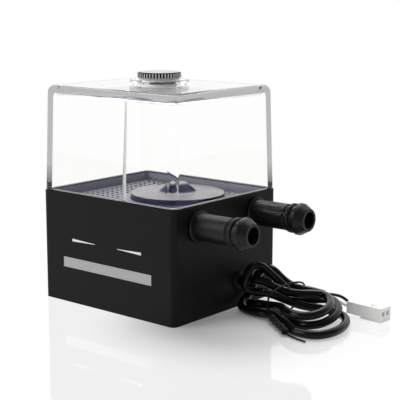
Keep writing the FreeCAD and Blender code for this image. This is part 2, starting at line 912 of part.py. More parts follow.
def connector_housing():
    half = connector_width / 2
    rear = block(-connector_length, -connector_front_length, -half, half, connector_step, connector_height)
    front = block(-connector_front_length, 0, -half, half, 0, connector_height)
    body = fused([rear, front, connector_latch()])
    cuts = [contact_way(y, 0) for y in lead_entry_ys()]
    for y in lead_entry_ys():
        start = point(-connector_length, y, lead_entry_z())
        cuts.append(Part.makeCylinder(lead_radius, lead_entry_depth, start, out))
    return at_connector(cut_all(body, cuts))


def connector_latch():
    """The small ramp on the connector's top that its mate clips over."""
    half = latch_width / 2
    top = connector_height + latch_height
    corners = [
        point(-latch_rear, -half, connector_height),
        point(-latch_rear, -half, top),
        point(-latch_crest, -half, top),
        point(-latch_front, -half, connector_height),
    ]
    return Part.Face(Part.makePolygon(corners + corners[:1])).extrude(point(0, latch_width, 0))


def lead_entry_z():
    return (connector_step + connector_height) / 2


def lead_entry_ys():
    return [-lead_pitch / 2, lead_pitch / 2]


def contact_way(y, end):
    """The square way for one contact, from the end of its lead towards the front face."""
    half = contact_width / 2
    low = lead_entry_z() - half
    return block(lead_entry_depth - connector_length, end, y - half, y + half, low, low + contact_width)


def connector_contacts():
    """Two contacts that fill their ways to just behind the front face."""
    return [at_connector(contact_way(y, -contact_recess)) for y in lead_entry_ys()]


def connector_lead(entry_y, side):
    """One lead from the hank to the connector; side is -1 or 1."""
    x, y, z = lead_start
    mid_x, mid_y, mid_z = lead_middle
    entry = []
    for reach in (-lead_straight, lead_entry_depth):
        place = Part.Vertex(reach - connector_length, entry_y, lead_entry_z())
        entry.append(at_connector(place).Point)
    points = [
        point(x, y + side * lead_start_spread / 2, z),
        point(mid_x, mid_y + side * lead_middle_spread / 2, mid_z),
    ]
    return cord_tube(points + entry, lead_radius, "connector_lead")


entries = lead_entry_ys()
parts["base_housing"] = [base_housing()]
parts["base_plate"] = [base_plate()]
parts["base_screws"] = [base_screw(p) for p in boss_places]
parts["tank"] = [tank()]
parts["tank_seal"] = [tank_seal()]
parts["filler_cap"] = [filler_cap()]
parts["filler_cap_seal"] = [filler_cap_seal()]
parts["floor_grid"] = [floor_grid()]
parts["volute_cover"] = [volute_cover()]
parts["volute_housing"] = [volute_housing()]
parts["volute_screws"] = [volute_screw(p) for p in ear_places]
parts["rotor_can"] = [rotor_can()]
parts["can_gasket"] = [can_gasket()]
parts["impeller"] = [impeller()]
parts["rotor_magnet"] = [rotor_magnet()]
parts["rotor_bush"] = [rotor_bush()]
parts["rotor_shaft"] = [rotor_shaft()]
parts["thrust_washers"] = thrust_washers()
parts["stator_core"] = [stator_core()]
parts["coil_bobbins"] = coil_bobbins()
parts["stator_coils"] = stator_coils()
parts["control_board"] = [control_board()]
parts["drive_chip"] = [on_board(chip_size, chip_inset - board_width / 2, chip_y)]
parts["hall_sensor"] = [on_board(sensor_size, axis_x, axis_y)]
parts["filter_capacitor"] = [filter_capacitor()]
parts["board_leads"] = board_leads()
for barb_name, barb_place in barb_places.items():
    parts[barb_name] = [barb(barb_place)]
parts["barb_seals"] = [barb_seal(p) for p in barb_places.values()]
parts["cable_grommet"] = [cable_grommet()]
parts["cable_lead"] = [cable_lead()]
parts["cable_hank"] = [cable_hank()]
parts["twist_tie"] = [twist_tie()]
parts["lead_black"] = [connector_lead(entries[1], 1)]
parts["lead_white"] = [connector_lead(entries[0], -1)]
parts["connector_housing"] = [connector_housing()]
parts["connector_contacts"] = connector_contacts()

os.makedirs("parts", exist_ok=True)
for name, solids in parts.items():
    shape = solids[0] if len(solids) == 1 else Part.makeCompound(solids)
    shape.exportStep(f"parts/{name}.step")
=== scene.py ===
import math

import bmesh
import bpy
from mathutils import Matrix, Vector


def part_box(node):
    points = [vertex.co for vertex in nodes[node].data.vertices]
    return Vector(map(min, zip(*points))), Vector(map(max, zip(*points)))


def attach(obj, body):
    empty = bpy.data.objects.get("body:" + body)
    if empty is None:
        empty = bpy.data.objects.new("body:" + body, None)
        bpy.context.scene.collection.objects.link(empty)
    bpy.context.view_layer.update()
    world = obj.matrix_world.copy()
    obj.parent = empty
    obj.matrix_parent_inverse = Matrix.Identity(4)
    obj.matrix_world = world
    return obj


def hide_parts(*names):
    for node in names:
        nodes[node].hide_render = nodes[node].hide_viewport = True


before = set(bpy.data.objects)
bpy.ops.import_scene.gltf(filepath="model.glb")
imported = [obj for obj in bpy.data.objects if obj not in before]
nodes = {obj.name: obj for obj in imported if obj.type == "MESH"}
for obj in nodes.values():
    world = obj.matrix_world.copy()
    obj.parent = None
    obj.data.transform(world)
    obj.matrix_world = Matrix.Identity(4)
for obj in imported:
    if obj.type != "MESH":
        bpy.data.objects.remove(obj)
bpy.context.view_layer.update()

mm = 0.001


# Underside cover: a moulded plate that closes the motor bay, with pegs for the board.
# Black plastic, held by four pan-head screws that sink into its counterbores.
def feed(tree, source, target):
    """Links a socket to another, or sets it where the source is a plain value."""
    if isinstance(source, bpy.types.NodeSocket):
        tree.links.new(source, target)
    else:
        target.default_value = source


def tree_node(tree, kind, settings=None, **sources):
    """Adds a node; a source is a socket to link from or a plain value."""
    node = tree.nodes.new(kind)
    for key, value in (settings or {}).items():
        setattr(node, key, value)
    for socket, source in sources.items():
        feed(tree, source, node.inputs[socket.replace("_", " ")])
    return node


def plain_finish(name, colour, roughness, **sockets):
    """An even finish; further shader values go by their socket's name."""
    material = bpy.data.materials.new(name)
    material.use_nodes = True
    shader = material.node_tree.nodes["Principled BSDF"]
    shader.inputs["Base Color"].default_value = (*colour, 1.0)
    shader.inputs["Roughness"].default_value = roughness
    for socket, value in sockets.items():
        shader.inputs[socket.replace("_", " ")].default_value = value
    return material


grain_low = 0.3
grain_high = 0.7
grain_detail = 3.0
grain_relief = 0.02 * mm
upward_start = 0.85
upward_full = 0.98


def grained_finish(
    name, colour, roughness, grain=3000.0, stretch=(1.0, 1.0, 1.0), depth=0.2, vary=0.1, top=None, **sockets
):
    """A finish with a fine grain: colour, gloss and height vary a little from place to place.

    top, where given, is painted light: the colour of the faces that look up, lighter as if lit from above.
    """
    material = plain_finish(name, colour, roughness, **sockets)
    tree = material.node_tree
    place = tree_node(tree, "ShaderNodeTexCoord")
    drawn = tree_node(tree, "ShaderNodeMapping", Vector=place.outputs["Object"], Scale=stretch)
    noise = tree_node(
        tree, "ShaderNodeTexNoise", Vector=drawn.outputs["Vector"], Scale=grain, Detail=grain_detail,
    )
    tone = tree_node(tree, "ShaderNodeValToRGB", Fac=noise.outputs["Fac"])
    stops = zip(tone.color_ramp.elements, (grain_low, grain_high), (1 - vary, 1 + vary))
    for stop, position, share in stops:
        stop.position = position
        stop.color = (*[min(c * share, 1.0) for c in colour], 1.0)
    gloss = tree_node(
        tree, "ShaderNodeMapRange", Value=noise.outputs["Fac"], From_Min=grain_low, From_Max=grain_high,
        To_Min=roughness * (1 - vary), To_Max=min(roughness * (1 + vary), 1.0),
    )
    relief = tree_node(
        tree, "ShaderNodeBump", Height=noise.outputs["Fac"], Strength=depth, Distance=grain_relief,
    )
    skin = tone.outputs["Color"]
    # Painted light: faces that look up take the top colour, as if lit from above.
    if top:
        facing = tree_node(tree, "ShaderNodeSeparateXYZ", Vector=place.outputs["Normal"])
        upward = tree_node(
            tree, "ShaderNodeMapRange", Value=facing.outputs["Z"],
            From_Min=upward_start, From_Max=upward_full,
        )
        lit_top_painted = tree_node(
            tree, "ShaderNodeMixRGB", Fac=upward.outputs["Result"], Color1=skin, Color2=(*top, 1.0),
        )
        skin = lit_top_painted.outputs["Color"]
    shader = tree.nodes["Principled BSDF"].inputs
    tree.links.new(skin, shader["Base Color"])
    tree.links.new(gloss.outputs["Result"], shader["Roughness"])
    tree.links.new(relief.outputs["Normal"], shader["Normal"])
    return material


def finish_node(node, material):
    """A CAD solid that shows as it is, in its own finish."""
    mesh = nodes[node].data
    mesh.materials.clear()
    mesh.materials.append(material)


housing_black = grained_finish(
    "housing_black", (0.0075, 0.0075, 0.008), 0.5, grain=9000.0, depth=0.25, Specular_IOR_Level=0.12,
)
finish_node("base_plate", housing_black)


# Base screws: four pan-head screws in the cover's corners, zinc-plated steel.
# Each head has a cross recess; the shank bites into a boss of the housing.
def worked_out(tree, operation, *sources, kind="Math"):
    """The number that a Math or VectorMath node gives for its sources, taken in order."""
    node = tree_node(tree, "ShaderNode" + kind, {"operation": operation})
    for source, target in zip(sources, node.inputs):
        feed(tree, source, target)
    return node.outputs["Value"]


def raised(tree, geometry, height):
    """A geometry moved up by a height, or down by a negative one."""
    shift = tree_node(tree, "ShaderNodeCombineXYZ", Z=height)
    moved = tree_node(tree, "GeometryNodeTransform", Geometry=geometry, Translation=shift.outputs[0])
    return moved.outputs["Geometry"]


def node_tree(name, sizes):
    """A geometry tree with one named input for each size or finish."""
    tree = bpy.data.node_groups.new(name, "GeometryNodeTree")
    tree.interface.new_socket("Geometry", in_out="OUTPUT", socket_type="NodeSocketGeometry")
    for size, value in sizes.items():
        kind = "NodeSocketInt" if isinstance(value, int) else "NodeSocketFloat"
        if isinstance(value, bpy.types.Material):
            kind = "NodeSocketMaterial"
        tree.interface.new_socket(size, in_out="INPUT", socket_type=kind)
    tree.nodes.new("NodeGroupInput")
    tree.nodes.new("NodeGroupOutput")
    return tree


def grown_piece(name, tree, sizes):
    """Runs a geometry tree and keeps its result as a plain mesh object."""
    grower = bpy.data.objects.new(name + "_grower", bpy.data.meshes.new(name + "_seed"))
    bpy.context.scene.collection.objects.link(grower)
    modifier = grower.modifiers.new("grow", "NODES")
    modifier.node_group = tree
    for item in tree.interface.items_tree:
        if item.in_out == "INPUT":
            modifier[item.identifier] = sizes[item.name]
    evaluated = grower.evaluated_get(bpy.context.evaluated_depsgraph_get())
    mesh = bpy.data.meshes.new_from_object(evaluated)
    mesh.name = name
    bpy.data.objects.remove(grower)
    piece = bpy.data.objects.new(name, mesh)
    bpy.context.scene.collection.objects.link(piece)
    return piece


screw_zinc = grained_finish("screw_zinc", (0.55, 0.55, 0.53), 0.35, grain=1800.0, Metallic=1.0)
screw_low, screw_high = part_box("base_screws")
screw_head_radius = 2.4 * mm
screw_head_height = 1.2 * mm
screw_sizes = {
    "Head radius": screw_head_radius,
    "Head height": screw_head_height,
    "Head sides": 32,
    "Head level": screw_low.z,
    "Shank radius": 1.25 * mm,
    "Shank length": screw_high.z - screw_low.z - screw_head_height,
    "Shank sides": 24,
    "Recess length": 2.88 * mm,
    "Recess width": 0.55 * mm,
    "Recess depth": 0.7 * mm,
    "Spread X": screw_high.x - screw_low.x - 2 * screw_head_radius,
    "Spread Y": screw_high.y - screw_low.y - 2 * screw_head_radius,
    "Finish": screw_zinc,
}
screw_tree = node_tree("base_screws", screw_sizes)
given = screw_tree.nodes["Group Input"].outputs
head = tree_node(
    screw_tree, "GeometryNodeMeshCylinder", {"fill_type": "NGON"},
    Vertices=given["Head sides"], Radius=given["Head radius"], Depth=given["Head height"],
)
recess_size = tree_node(
    screw_tree, "ShaderNodeCombineXYZ",
    X=given["Recess length"], Y=given["Recess width"], Z=given["Recess depth"],
)
recess_bar = tree_node(screw_tree, "GeometryNodeMeshCube", Size=recess_size.outputs[0])
head_bottom = worked_out(screw_tree, "MULTIPLY", given["Head height"], -0.5)
first_bar = raised(screw_tree, recess_bar.outputs["Mesh"], head_bottom)
second_bar = tree_node(
    screw_tree, "GeometryNodeTransform", Geometry=first_bar, Rotation=(0.0, 0.0, math.pi / 2),
)
cross = tree_node(screw_tree, "GeometryNodeMeshBoolean", {"operation": "UNION", "solver": "EXACT"})
for bar in (first_bar, second_bar.outputs["Geometry"]):
    screw_tree.links.new(bar, cross.inputs["Mesh 2"])
recessed = tree_node(
    screw_tree, "GeometryNodeMeshBoolean", {"operation": "DIFFERENCE", "solver": "EXACT"},
    Mesh_1=head.outputs["Mesh"], Mesh_2=cross.outputs["Mesh"],
)
shank = tree_node(
    screw_tree, "GeometryNodeMeshCylinder", {"fill_type": "NGON"},
    Vertices=given["Shank sides"], Radius=given["Shank radius"], Depth=given["Shank length"],
)
half_shank = worked_out(screw_tree, "MULTIPLY", given["Shank length"], 0.5)
shank_middle = worked_out(screw_tree, "MULTIPLY_ADD", given["Head height"], 0.5, half_shank)
whole_screw = tree_node(screw_tree, "GeometryNodeJoinGeometry")
for part in (recessed.outputs["Mesh"], raised(screw_tree, shank.outputs["Mesh"], shank_middle)):
    screw_tree.links.new(part, whole_screw.inputs[0])
corners = tree_node(
    screw_tree, "GeometryNodeMeshGrid",
    Size_X=given["Spread X"], Size_Y=given["Spread Y"], Vertices_X=2, Vertices_Y=2,
)
screws = tree_node(
    screw_tree, "GeometryNodeInstanceOnPoints",
    Points=corners.outputs["Mesh"], Instance=whole_screw.outputs[0],
)
head_middle = worked_out(screw_tree, "MULTIPLY_ADD", given["Head height"], 0.5, given["Head level"])
seated = raised(screw_tree, screws.outputs["Instances"], head_middle)
real_screws = tree_node(screw_tree, "GeometryNodeRealizeInstances", Geometry=seated)
plated = tree_node(
    screw_tree, "GeometryNodeSetMaterial",
    Geometry=real_screws.outputs["Geometry"], Material=given["Finish"],
)
screw_tree.links.new(plated.outputs["Geometry"], screw_tree.nodes["Group Output"].inputs["Geometry"])
base_screws = grown_piece("base_screws_dressed", screw_tree, screw_sizes)
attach(base_screws, "pump")
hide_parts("base_screws")


# Control board: glass-fibre laminate on the cover's pegs, with the drive chip,
# the sensor under the rotor and a filter capacitor soldered on, and the cable's two leads.
board_green = grained_finish("board_green", (0.012, 0.11, 0.045), 0.35, grain=900.0, stretch=(1.0, 2.5, 1.0))
finish_node("control_board", board_green)
chip_black = grained_finish("chip_black", (0.012, 0.012, 0.013), 0.5, grain=6000.0)
finish_node("drive_chip", chip_black)
finish_node("hall_sensor", chip_black)
capacitor_can = grained_finish(
    "capacitor_can", (0.62, 0.62, 0.64), 0.3, grain=700.0, stretch=(3.0, 3.0, 0.2), Metallic=1.0,
)
finish_node("filter_capacitor", capacitor_can)
finish_node("board_leads", grained_finish("board_lead_black", (0.015, 0.015, 0.016), 0.45))


# Stator: laminated steel core with four poles, each in a moulded bobbin
# that carries a winding of enamelled copper wire.
# The steel is banded along its height by the edges of the laminations.
core_steel = grained_finish(
    "core_steel", (0.30, 0.31, 0.33), 0.4, grain=25.0, stretch=(1.0, 1.0, 80.0), depth=0.6, vary=0.25,
    Metallic=1.0,
)
finish_node("stator_core", core_steel)
finish_node("coil_bobbins", grained_finish("bobbin_cream", (0.72, 0.66, 0.5), 0.45))
winding_copper = grained_finish(
    "winding_copper", (0.55, 0.21, 0.08), 0.3, grain=1500.0, depth=0.5, vary=0.25, Metallic=1.0,
)
finish_node("stator_coils", winding_copper)


# Base housing: one injection moulding in black plastic, open above and below,
# with a deck between the motor bay and the wet side. Its outer faces are plain and satin;
# the walls of the wet side, above the deck, are smoother, and painted grey as painted light and sheen.
weld_distance = 0.002 * mm
crease_angle = math.radians(32)


def weight_normals(piece):
    """Lets the large flat faces set the shading where they meet a round."""
    modifier = piece.modifiers.new("flat_faces", "WEIGHTED_NORMAL")
    modifier.keep_sharp = True
    evaluated = piece.evaluated_get(bpy.context.evaluated_depsgraph_get())
    mesh = bpy.data.meshes.new_from_object(evaluated)
    piece.modifiers.remove(modifier)
    piece.data = mesh


def smooth_copy(name, node, material, body):
    """A CAD solid's own shape with smooth round faces, shown in its place."""
    mesh = nodes[node].data.copy()
    mesh.name = name
    form = bmesh.new()
    form.from_mesh(mesh)
    bmesh.ops.remove_doubles(form, verts=form.verts, dist=weld_distance)
    form.to_mesh(mesh)
    form.free()
    mesh.materials.clear()
    mesh.materials.append(material)
    mesh.polygons.foreach_set("use_smooth", [True] * len(mesh.polygons))
    mesh.set_sharp_from_angle(angle=crease_angle)
    piece = bpy.data.objects.new(name, mesh)
    bpy.context.scene.collection.objects.link(piece)
    weight_normals(piece)
    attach(piece, body)
    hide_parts(node)
    return piece


base_housing = smooth_copy("base_housing_dressed", "base_housing", housing_black, "pump")
# Painted light and sheen: the wet side's upright inner walls above the deck take a grey copy of the black
# plastic.
wet_wall_painted_light = grained_finish("wet_wall_painted_light", (0.15, 0.15, 0.17), 0.35, grain=3000.0, Specular_IOR_Level=0.2)
base_housing.data.materials.append(wet_wall_painted_light)
deck_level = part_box("can_gasket")[0].z
upright_limit = 0.5
for face in base_housing.data.polygons:
    outward = Vector((face.center.x, face.center.y, 0.0))
    upright = abs(face.normal.z) < upright_limit
    if upright and face.center.z > deck_level and face.normal.dot(outward) < 0:
        face.material_index = 1


# Printed front: a plain silver bar and two thin white rules, screen printed on the face.
# The ink is a film a few hundredths of a millimetre thick; the rules taper towards the middle.
front_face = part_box("base_housing")[0].y
ink_film = 0.04 * mm


def print_patch(name, x0, x1, z0, z1, material, taper=1.0):
    """A patch of ink on the front face; taper is the height left at the end nearest the middle."""
    middle = (z0 + z1) / 2
    size = Matrix.Diagonal((x1 - x0, ink_film, z1 - z0, 1.0))
    place = Matrix.Translation(((x0 + x1) / 2, front_face - ink_film / 2, middle))
    form = bmesh.new()
    bmesh.ops.create_cube(form, size=1.0)
    bmesh.ops.transform(form, matrix=place @ size, verts=form.verts)
    inner_end = min(abs(x0), abs(x1))
    for corner in form.verts:
        if abs(abs(corner.co.x) - inner_end) < ink_film:
            corner.co.z = middle + (corner.co.z - middle) * taper
    mesh = bpy.data.meshes.new(name)
    form.to_mesh(mesh)
    form.free()
    mesh.materials.append(material)
    patch = bpy.data.objects.new(name, mesh)
    bpy.context.scene.collection.objects.link(patch)
    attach(patch, "pump")


silver_ink = grained_finish("silver_ink", (0.42, 0.42, 0.42), 0.5, grain=5000.0, vary=0.06)
white_ink = grained_finish("white_ink", (0.8, 0.8, 0.8), 0.5, grain=5000.0, vary=0.06)
bar_half_width = 21.6 * mm
bar_bottom = 13.1 * mm
bar_top = 16.85 * mm
print_patch("printed_bar", -bar_half_width, bar_half_width, bar_bottom, bar_top, silver_ink)
rule_start = 5.4 * mm
rule_end = 16.9 * mm
rule_bottom = 23.1 * mm
rule_top = 24.1 * mm
rule_taper = 0.12
print_patch("printed_rule_left", -rule_end, -rule_start, rule_bottom, rule_top, white_ink, rule_taper)
print_patch("printed_rule_right", rule_start, rule_end, rule_bottom, rule_top, white_ink, rule_taper)


# Rotor can: a thin moulded cup that parts the coolant from the motor, on a rubber gasket.
# The ceramic shaft stands in its floor, with a washer at each end of the rotor.
rubber_black = grained_finish(
    "rubber_black", (0.006, 0.006, 0.006), 0.6, grain=5000.0, depth=0.35, Specular_IOR_Level=0.2,
)
finish_node("can_gasket", rubber_black)
finish_node("rotor_can", grained_finish("can_black", (0.03, 0.03, 0.032), 0.4))
shaft_ceramic = grained_finish("shaft_ceramic", (0.8, 0.79, 0.74), 0.25, vary=0.05)
finish_node("rotor_shaft", shaft_ceramic)
finish_node("thrust_washers", shaft_ceramic)


# Rotor: a vaned impeller in grey nylon, moulded on a sintered ferrite ring magnet.
# A carbon bush is pressed through both, and runs on the ceramic shaft.
ferrite_grey = grained_finish("ferrite_grey", (0.05, 0.05, 0.055), 0.55, grain=2000.0, vary=0.25)
finish_node("rotor_magnet", ferrite_grey)
finish_node("rotor_bush", grained_finish("carbon_black", (0.02, 0.02, 0.02), 0.5))
finish_node("impeller", grained_finish("impeller_grey", (0.045, 0.045, 0.05), 0.4))


# Pump chamber: the spiral housing, its four screws from under the deck, and the cover disc
# with the slotted inlet boss. Glossy black plastic, wet by the coolant; its upper faces
# are painted grey, as painted light from above.
# Painted light: the top colour greys the faces that look up.
wet_black = grained_finish(
    "wet_black", (0.015, 0.016, 0.035), 0.24, grain=2500.0, depth=0.12, top=(0.19, 0.18, 0.185),
    Specular_IOR_Level=0.15,
)
finish_node("volute_housing", wet_black)
finish_node("volute_screws", screw_zinc)
volute_cover = smooth_copy("volute_cover_dressed", "volute_cover", wet_black, "pump")


# Perforated floor: a thin moulded plate with rows of square holes, dropped on the four posts.
# It keeps the coolant calm above the pump chamber; less glossy than the cover disc,
# its upper faces painted greyer as painted light from above.
# Its corner in front of the disc has painted shade, the disc's shadow, up to a narrow unshaded pale line
# round the disc's foot.
# Painted light: the plate's upward faces take a grey top colour over near-black plastic.
grid_painted_grey = grained_finish(
    "grid_painted_grey", (0.002, 0.002, 0.006), 0.4, grain=3500.0, depth=0.3, top=(0.22, 0.22, 0.23),
    Specular_IOR_Level=0.2,
)
disc_low, disc_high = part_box("volute_cover")
disc_middle = (disc_low + disc_high) / 2
disc_radius = (disc_high.x - disc_low.x) / 2
# Painted shadow of the disc: the plate's front corner turns dark, except a narrow pale line at the disc's
# foot.
corner_side = (0.64, -0.77, 0.0)
corner_painted_shade = (0.02, 0.018, 0.035, 1.0)
corner_shade_start = disc_radius * 0.4
corner_shade_full = disc_radius * 0.75
pale_line = 0.4 * mm
line_blur = 0.3 * mm
grid_tree = grid_painted_grey.node_tree
grid_colour = grid_tree.nodes["Principled BSDF"].inputs["Base Color"]
grid_place = tree_node(grid_tree, "ShaderNodeTexCoord")
from_disc = tree_node(
    grid_tree, "ShaderNodeMapping", Vector=grid_place.outputs["Object"],
    Location=(-disc_middle.x, -disc_middle.y, 0.0), Scale=(1.0, 1.0, 0.0),
)
disc_gap = worked_out(grid_tree, "LENGTH", from_disc.outputs["Vector"], kind="VectorMath")
past_line = tree_node(
    grid_tree, "ShaderNodeMapRange", Value=disc_gap,
    From_Min=disc_radius + pale_line, From_Max=disc_radius + pale_line + line_blur,
)
corner_reach = worked_out(
    grid_tree, "DOT_PRODUCT", from_disc.outputs["Vector"], corner_side, kind="VectorMath",
)
in_corner_shade = tree_node(
    grid_tree, "ShaderNodeMapRange", Value=corner_reach,
    From_Min=corner_shade_start, From_Max=corner_shade_full, To_Max=past_line.outputs["Result"],
)
corner_shade_skin = tree_node(
    grid_tree, "ShaderNodeMixRGB", Fac=in_corner_shade.outputs["Result"],
    Color1=grid_colour.links[0].from_socket, Color2=corner_painted_shade,
)
grid_tree.links.new(corner_shade_skin.outputs["Color"], grid_colour)
finish_node("floor_grid", grid_painted_grey)


# Hose barbs: turned-looking mouldings in black plastic, pressed into the side wall
# over a seal ring. The ridge and the land hold the hose.
barb_black = grained_finish(
    "barb_black", (0.005, 0.005, 0.0053), 0.42, grain=4000.0, depth=0.03, vary=0.05, Specular_IOR_Level=0.26,
)
for barb in ("inlet_barb", "outlet_barb"):
    dressed = smooth_copy(barb + "_dressed", barb, barb_black, "pump")
finish_node("barb_seals", rubber_black)


# Reservoir: a clear moulded box with a filler collar, bonded over a thin frame seal.
# Its walls narrow a little upwards and mirror little, in a bluish tone;
# a slim frosted rib stands inside the front wall and leans to the right.
rib_place = 7.6 * mm
rib_slant = 0.9 * mm
rib_foot_width = 1.7 * mm
rib_top_width = 0.8 * mm
rib_depth = 0.5 * mm
rib_top_share = 0.5
rib_points = 7
corner_steps = 12
tank_crease = math.radians(40)


def rounded_ring(width, depth, radius, z, rib_height, rib_half, rib_middle):
    """Points round a rectangle with round corners and a rib on its front."""
    points = []
    for quarter in range(4):
        sign_x = (1, -1, -1, 1)[quarter]
        sign_y = (1, 1, -1, -1)[quarter]
        middle = Vector((sign_x * (width / 2 - radius), sign_y * (depth / 2 - radius), z))
        for step in range(corner_steps + 1):
            angle = math.radians(90 * quarter + 90 * step / corner_steps)
            points.append(middle + Vector((math.cos(angle), math.sin(angle), 0)) * radius)
        if quarter == 2:
            for step in range(rib_points):
                angle = math.pi * step / (rib_points - 1)
                x = rib_middle - rib_half * math.cos(angle)
                points.append(Vector((x, rib_height * math.sin(angle) - depth / 2, z)))
    return points


def round_ring(radius, z):
    """Points round a circle, in step with rounded_ring."""
    count = 4 * (corner_steps + 1) + rib_points
    turn = 2 * math.pi / count
    angles = [turn * (k + 0.5) for k in range(count)]
    return [Vector((radius * math.cos(a), radius * math.sin(a), z)) for a in angles]


def ring_skin(name, rings, material):
    """A closed skin over rings of points, the last joined to the first."""
    count = len(rings[0])
    corners = [p for ring in rings for p in ring]
    faces = []
    for k in range(len(rings)):
        here = k * count
        there = (k + 1) % len(rings) * count
        for j in range(count):
            after = (j + 1) % count
            faces.append((here + j, here + after, there + after, there + j))
    mesh = bpy.data.meshes.new(name)
    mesh.from_pydata(corners, [], faces)
    form = bmesh.new()
    form.from_mesh(mesh)
    bmesh.ops.recalc_face_normals(form, faces=form.faces)
    form.to_mesh(mesh)
    form.free()
    mesh.materials.append(material)
    mesh.polygons.foreach_set("use_smooth", [True] * len(mesh.polygons))
    mesh.set_sharp_from_angle(angle=tank_crease)
    piece = bpy.data.objects.new(name, mesh)
    bpy.context.scene.collection.objects.link(piece)
    return piece


def shader_mix(tree, share, first, second):
    """A blend of two shaders: the first at a share of 0, the second at 1."""
    node = tree_node(tree, "ShaderNodeMixShader", Fac=share)
    tree.links.new(first, node.inputs[1])
    tree.links.new(second, node.inputs[2])
    return node.outputs[0]


clear_ior = 1.49
clear_tint = (0.62, 0.64, 0.66, 1.0)
tint_density = 3.0
glare_cut = 0.5
glare_blue = (0.42, 0.48, 1.0, 1.0)
# Painted shade on the walls' edges: the dimming colour is darkest at the tank's foot, above the black base.
edge_dark_level = 41.0 * mm
edge_clear_level = 48.0 * mm
edge_dark = 0.2
edge_clear = 0.49
most_bounces = 1.5
first_pass = 0.5
clear_plastic = plain_finish(
    "clear_plastic", (1.0, 1.0, 1.0), 0.0,
    Transmission_Weight=1.0, IOR=clear_ior, Specular_Tint=glare_blue,
)
clear_tree = clear_plastic.node_tree
clear_surface = clear_tree.nodes["Principled BSDF"].outputs[0]
clear_view = tree_node(clear_tree, "ShaderNodeBsdfRefraction", Roughness=0.0, IOR=clear_ior)
clear_glare = tree_node(clear_tree, "ShaderNodeFresnel", IOR=clear_ior)
clear_share = tree_node(
    clear_tree, "ShaderNodeMapRange", Value=clear_glare.outputs["Fac"], To_Min=glare_cut, To_Max=0.0,
)
clear_body = shader_mix(clear_tree, clear_share.outputs["Result"], clear_surface, clear_view.outputs[0])
edge_place = tree_node(clear_tree, "ShaderNodeTexCoord")
edge_height = tree_node(clear_tree, "ShaderNodeSeparateXYZ", Vector=edge_place.outputs["Object"])
edge_light = tree_node(
    clear_tree, "ShaderNodeMapRange", Value=edge_height.outputs["Z"],
    From_Min=edge_dark_level, From_Max=edge_clear_level, To_Min=edge_dark, To_Max=edge_clear,
)

# A ray that has been mirrored more than once goes straight on through the walls. It is
# dimmed once, as painted shade for the walls' dark edges, the most near the tank's foot.
# Shadow rays always go straight through.
clear_edge = tree_node(clear_tree, "ShaderNodeBsdfTransparent", Color=edge_light.outputs["Result"])
clear_through = tree_node(clear_tree, "ShaderNodeBsdfTransparent")
clear_ray = tree_node(clear_tree, "ShaderNodeLightPath").outputs
ray_late = worked_out(clear_tree, "GREATER_THAN", clear_ray["Glossy Depth"], most_bounces)
ray_again = worked_out(clear_tree, "GREATER_THAN", clear_ray["Transparent Depth"], first_pass)
clear_exit = shader_mix(clear_tree, ray_again, clear_edge.outputs[0], clear_through.outputs[0])
clear_inner = shader_mix(clear_tree, ray_late, clear_body, clear_exit)
clear_mix = shader_mix(clear_tree, clear_ray["Is Shadow Ray"], clear_inner, clear_through.outputs[0])
clear_volume = tree_node(
    clear_tree, "ShaderNodeVolumeAbsorption", Color=clear_tint, Density=tint_density,
)
clear_output = clear_tree.nodes["Material Output"].inputs
clear_tree.links.new(clear_mix, clear_output["Surface"])
clear_tree.links.new(clear_volume.outputs["Volume"], clear_output["Volume"])

tank_low, tank_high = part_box("tank")
tank_width = tank_high.x - tank_low.x
tank_depth = tank_high.y - tank_low.y
tank_wall = 2.7 * mm
tank_roof = 2.9 * mm
tank_lean = 0.95 * mm
tank_corner = 3.0 * mm
tank_edge = 2.6 * mm
inner_corner = 1.5 * mm
inner_edge = 0.96 * mm
least_corner = 0.05 * mm
edge_angles = (0, 15, 30, 45, 60, 75, 90)
collar_radius = 10.9 * mm
collar_height = 2.1 * mm
collar_edge = 0.35 * mm
bore_radius = 6.6 * mm
neck_radius = 9.0 * mm
neck_drop = 0.5 * mm
collar_top = tank_high.z
roof_top = collar_top - collar_height
roof_under = roof_top - tank_roof
neck_bottom = roof_under - neck_drop


def tank_ring(inset, radius, z, rib=0.0):
    """A ring of the tank's wall: inset from its outer face, which leans inwards."""
    rise = (z - tank_low.z) / (roof_top - tank_low.z)
    trim = 2 * (inset + tank_lean * rise)
    rib_height = rib * (1 - (1 - rib_top_share) * rise)
    rib_half = (rib_foot_width + (rib_top_width - rib_foot_width) * rise) / 2
    rib_middle = rib_place + rib_slant * rise
    return rounded_ring(tank_width - trim, tank_depth - trim, radius, z, rib_height, rib_half, rib_middle)


def rounded_edge(inset, edge, corner, top, rib=0.0):
    """Rings over the round edge between a wall and a flat top."""
    rings = []
    for degrees in edge_angles:
        angle = math.radians(degrees)
        z = top - edge * (1 - math.sin(angle))
        fall = edge * (1 - math.cos(angle))
        rings.append(tank_ring(inset + fall, max(corner - fall, least_corner), z, rib))
    return rings


flat_margin = 0.15 * mm
outer_flat = tank_edge + flat_margin
inner_flat = inner_edge + flat_margin
collar_profile = [
    (collar_radius, roof_top),
    (collar_radius, collar_top - collar_edge),
    (collar_radius - collar_edge, collar_top),
    (bore_radius + collar_edge, collar_top),
    (bore_radius, collar_top - collar_edge),
    (bore_radius, neck_bottom),
    (neck_radius, neck_bottom),
    (neck_radius, roof_under),
]
tank_rings = [
    tank_ring(0, tank_corner, tank_low.z),
    tank_ring(0, tank_corner, roof_top - outer_flat),
]
tank_rings += rounded_edge(0, tank_edge, tank_corner, roof_top)
tank_rings.append(tank_ring(outer_flat, tank_corner - tank_edge, roof_top))
tank_rings += [round_ring(radius, z) for radius, z in collar_profile]
tank_rings.append(tank_ring(tank_wall + inner_flat, inner_corner, roof_under, rib_depth))
tank_rings += reversed(rounded_edge(tank_wall, inner_edge, inner_corner, roof_under, rib_depth))
